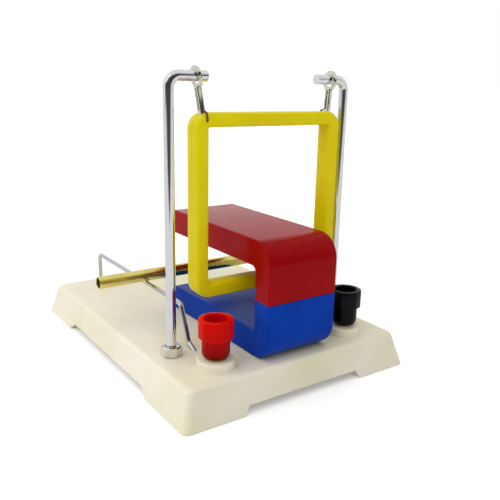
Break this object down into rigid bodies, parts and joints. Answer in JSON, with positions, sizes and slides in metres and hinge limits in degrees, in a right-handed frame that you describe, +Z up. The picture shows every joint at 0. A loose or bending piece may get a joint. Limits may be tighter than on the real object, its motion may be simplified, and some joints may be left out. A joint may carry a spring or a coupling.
{
  "type": "electromagnetic induction apparatus",
  "caption": "Flat coil hung from bent posts in the mouth of a lying U magnet, with a loose brass tube on wire rails and two knob terminals, on a moulded base for classroom tests.",
  "frame": {"origin": "centre of the base's underside, on the table", "axes": "+X to the right along the front edge with the terminals, +Y to the back along the rails, +Z up"},
  "size_m": [0.09, 0.12, 0.1014],
  "materials": {
    "cream_plastic": "moulded, soft gloss",
    "chromed_rod": "polished plating",
    "steel": "zinc plated",
    "brass": "polished",
    "red_knob_plastic": "gloss",
    "black_plastic": "gloss",
    "yellow_plastic": "gloss",
    "copper": "enamelled wire",
    "enamel": "enamelled wire",
    "plated_sheet": "nickel plated",
    "red_plastic": "gloss",
    "blue_plastic": "gloss",
    "ferrite": "sintered, matt"
  },
  "bodies": {
    "base": {"base": "cream_plastic", "post_left": "chromed_rod", "post_right": "chromed_rod", "post_top_nuts": "chromed_rod", "post_bottom_nuts": "steel", "post_washers": "steel", "terminal_stud_left": "brass", "terminal_stud_right": "brass", "terminal_nuts": "steel", "terminal_washers": "steel", "link_left": "brass", "link_right": "brass", "rail_left": "chromed_rod", "rail_right": "chromed_rod"},
    "coil": {"coil_front_shell": "yellow_plastic", "coil_back_shell": "yellow_plastic", "coil_winding": "copper", "coil_lead_left": "enamel", "coil_lead_right": "enamel", "lug_left": "plated_sheet", "lug_right": "plated_sheet"},
    "magnet": {"magnet_red_shell": "red_plastic", "magnet_blue_shell": "blue_plastic", "magnet_yoke": "steel", "north_block": "ferrite", "south_block": "ferrite"},
    "red_knob": {"red_knob": "red_knob_plastic", "red_knob_insert": "brass"},
    "black_knob": {"black_knob": "black_plastic", "black_knob_insert": "brass"},
    "tube": {"brass_tube": "brass"}
  },
  "joints": [
    {"name": "coil_swing", "type": "hinge", "parent": "base", "child": "coil", "pos_m": [0, -0.032, 0.0984], "axis": [-1, 0, 0], "range_deg": [-22, 8]},
    {"name": "tube_roll", "type": "slide", "parent": "base", "child": "tube", "axis": [0, 1, 0], "range_m": [-0.02, 0.04]},
    {"name": "magnet_slide", "type": "slide", "parent": "base", "child": "magnet", "axis": [0, -1, 0], "range_m": [-0.009, 0.048]},
    {"name": "red_knob_turn", "type": "hinge", "parent": "base", "child": "red_knob", "pos_m": [-0.0266, -0.047, 0.02], "axis": [0, 0, 1], "range_deg": [0, 720]},
    {"name": "black_knob_turn", "type": "hinge", "parent": "base", "child": "black_knob", "pos_m": [0.0266, -0.047, 0.02], "axis": [0, 0, 1], "range_deg": [0, 720]}
  ]
}
